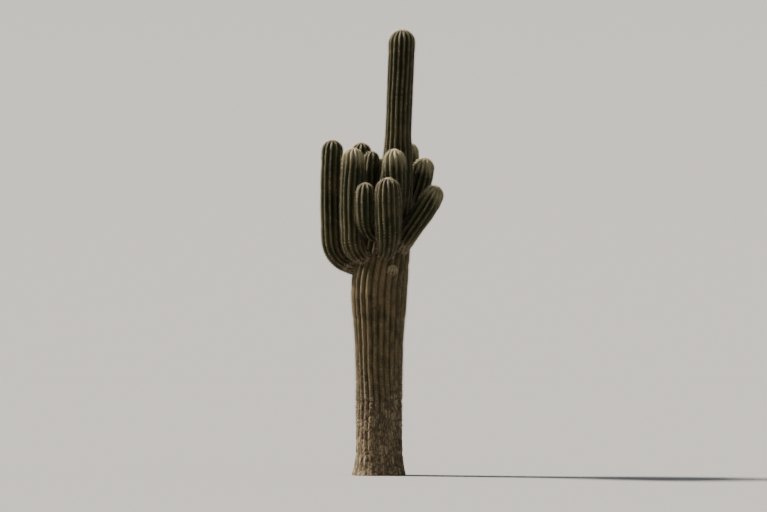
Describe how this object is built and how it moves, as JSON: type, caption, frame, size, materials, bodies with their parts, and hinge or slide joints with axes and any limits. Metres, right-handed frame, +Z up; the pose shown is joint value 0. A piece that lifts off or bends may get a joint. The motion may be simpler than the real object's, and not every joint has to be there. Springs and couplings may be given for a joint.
{
  "type": "saguaro cactus",
  "caption": "Tall columnar desert cactus with a ribbed, slightly leaning trunk and a crowd of thick upturned arms around its middle, rooted in level ground.",
  "frame": {"origin": "middle of the flat cut under the trunk, at ground level", "axes": "+Z up along the trunk, +X to the picture's right, +Y away from the camera"},
  "size_m": [1.646, 1.7065, 6],
  "materials": {
    "trunk_skin": "matte",
    "arm_skin": "matte",
    "bud_skin": "matte",
    "spines": "matte"
  },
  "bodies": {
    "root": {"trunk": "trunk_skin", "arm_left_elbow": "arm_skin", "arm_left_upright": "arm_skin", "arm_front_left_elbow": "arm_skin", "arm_front_left_upright": "arm_skin", "arm_back_left_elbow": "arm_skin", "arm_back_left_upright": "arm_skin", "arm_beside_stem_elbow": "arm_skin", "arm_beside_stem_upright": "arm_skin", "arm_front_elbow": "arm_skin", "arm_front_upright": "arm_skin", "arm_right_elbow": "arm_skin", "arm_right_upright": "arm_skin", "arm_slanting_elbow": "arm_skin", "arm_slanting_upright": "arm_skin", "arm_low_front_elbow": "arm_skin", "arm_low_front_upright": "arm_skin", "arm_low_left_elbow": "arm_skin", "arm_low_left_upright": "arm_skin", "arm_back_elbow": "arm_skin", "arm_back_upright": "arm_skin", "arm_back_right_elbow": "arm_skin", "arm_back_right_upright": "arm_skin", "bud_front": "bud_skin", "bud_front_right": "bud_skin", "bud_back": "bud_skin"}
  },
  "joints": []
}
